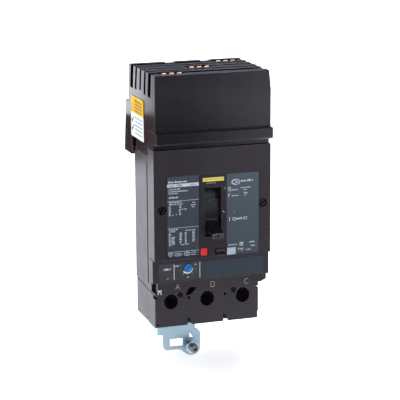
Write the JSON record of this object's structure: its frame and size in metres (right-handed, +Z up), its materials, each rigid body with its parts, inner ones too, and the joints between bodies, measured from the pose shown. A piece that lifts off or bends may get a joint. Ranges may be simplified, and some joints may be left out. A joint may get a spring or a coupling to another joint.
{
  "type": "molded case circuit breaker",
  "caption": "Plug-on moulded case circuit breaker with slotted jaw housing, toggle, trip button, adjustable trip unit, load lugs and a fixing bracket.",
  "frame": {"origin": "on the flat back face of the case, on the centre line, level with the toggle's pivot", "axes": "+X to the right across the poles seen from the front, +Y to the back out of the mounting face, +Z up towards the plug-on jaws; the front faces -Y"},
  "size_m": [0.112, 0.1124, 0.2697],
  "materials": {
    "case": "fine moulded texture",
    "handle": "satin",
    "nameplate": "satin printed plate",
    "yellow_strip": "satin",
    "red_button": "satin",
    "blue_dial": "satin",
    "sticker": "coated",
    "copper": "plain copper",
    "bimetal": "satin",
    "steel": "satin",
    "dark_screw": "black oxide",
    "zinc": "blue-white zinc plating",
    "aluminium": "tin plated",
    "insulator": "brown moulding"
  },
  "bodies": {
    "case": {"arc_chute_a": "steel", "arc_chute_b": "steel", "arc_chute_c": "steel", "bimetal_a": "bimetal", "bimetal_b": "bimetal", "bimetal_c": "bimetal", "case_base": "case", "case_cover": "case", "cover_screw_left": "dark_screw", "cover_screw_right": "dark_screw", "cradle": "steel", "escutcheon": "case", "indicator_strip": "yellow_strip", "jaw_a_front": "copper", "jaw_a_rear": "copper", "jaw_b_front": "copper", "jaw_b_rear": "copper", "jaw_c_front": "copper", "jaw_c_rear": "copper", "jaw_housing": "case", "line_conductor_a": "copper", "line_conductor_b": "copper", "line_conductor_c": "copper", "load_conductor_a": "copper", "load_conductor_b": "copper", "load_conductor_c": "copper", "load_lug_a": "aluminium", "load_lug_b": "aluminium", "load_lug_c": "aluminium", "load_terminal_cover": "case", "magnet_yoke_a": "steel", "magnet_yoke_b": "steel", "magnet_yoke_c": "steel", "mechanism_frame": "steel", "mounting_bracket": "zinc", "nameplate_left": "nameplate", "nameplate_right": "nameplate", "terminal_block": "case", "terminal_cover_screw_left": "dark_screw", "terminal_cover_screw_right": "dark_screw", "trip_unit_case": "case", "trip_unit_plate": "nameplate", "warning_label": "sticker"},
    "toggle": {"toggle_handle": "handle", "handle_yoke": "steel", "main_spring_left": "steel", "main_spring_right": "steel"},
    "contact_carrier": {"contact_crossbar": "insulator", "lower_link": "steel", "moving_contact_a": "copper", "moving_contact_b": "copper", "moving_contact_c": "copper"},
    "push_to_trip": {"trip_button": "red_button"},
    "common_trip_bar": {"trip_bar": "insulator"},
    "trip_dial": {"magnetic_dial": "blue_dial"},
    "fixing_screw": {"bracket_screw": "dark_screw", "bracket_washer": "zinc"},
    "wire_clamp_a": {"lug_screw_a": "steel"},
    "wire_clamp_b": {"lug_screw_b": "steel"},
    "wire_clamp_c": {"lug_screw_c": "steel"}
  },
  "joints": [
    {"name": "toggle_turn", "type": "hinge", "parent": "case", "child": "toggle", "pos_m": [0, -0.033, 0], "axis": [-1, 0, 0], "range_deg": [0, 35.6]},
    {"name": "contacts_turn", "type": "hinge", "parent": "case", "child": "contact_carrier", "pos_m": [0, -0.02, -0.024], "axis": [-1, 0, 0], "range_deg": [0, 21]},
    {"name": "trip_button_press", "type": "slide", "parent": "case", "child": "push_to_trip", "axis": [0, 1, 0], "range_m": [0, 0.0025], "stiffness_N_per_m": 400},
    {"name": "trip_bar_turn", "type": "hinge", "parent": "case", "child": "common_trip_bar", "pos_m": [0, -0.05, -0.0475], "axis": [-1, 0, 0], "range_deg": [0, 17.5]},
    {"name": "dial_turn", "type": "hinge", "parent": "case", "child": "trip_dial", "pos_m": [-0.0222, -0.0728, -0.0515], "axis": [0, -1, 0], "range_deg": [-110, 110]},
    {"name": "fixing_screw_turn", "type": "hinge", "parent": "case", "child": "fixing_screw", "pos_m": [-0.0146, -0.054, -0.1318], "axis": [0, 1, 0], "continuous": true},
    {"name": "wire_clamp_a_drive", "type": "slide", "parent": "case", "child": "wire_clamp_a", "axis": [0, 1, 0], "range_m": [0, 0.005]},
    {"name": "wire_clamp_b_drive", "type": "slide", "parent": "case", "child": "wire_clamp_b", "axis": [0, 1, 0], "range_m": [0, 0.005]},
    {"name": "wire_clamp_c_drive", "type": "slide", "parent": "case", "child": "wire_clamp_c", "axis": [0, 1, 0], "range_m": [0, 0.005]}
  ],
  "couplings": [
    {"joint": "contacts_turn", "follows": "toggle_turn", "ratio": 0.5898},
    {"joint": "trip_bar_turn", "follows": "trip_button_press", "rad_per_m": 118}
  ]
}
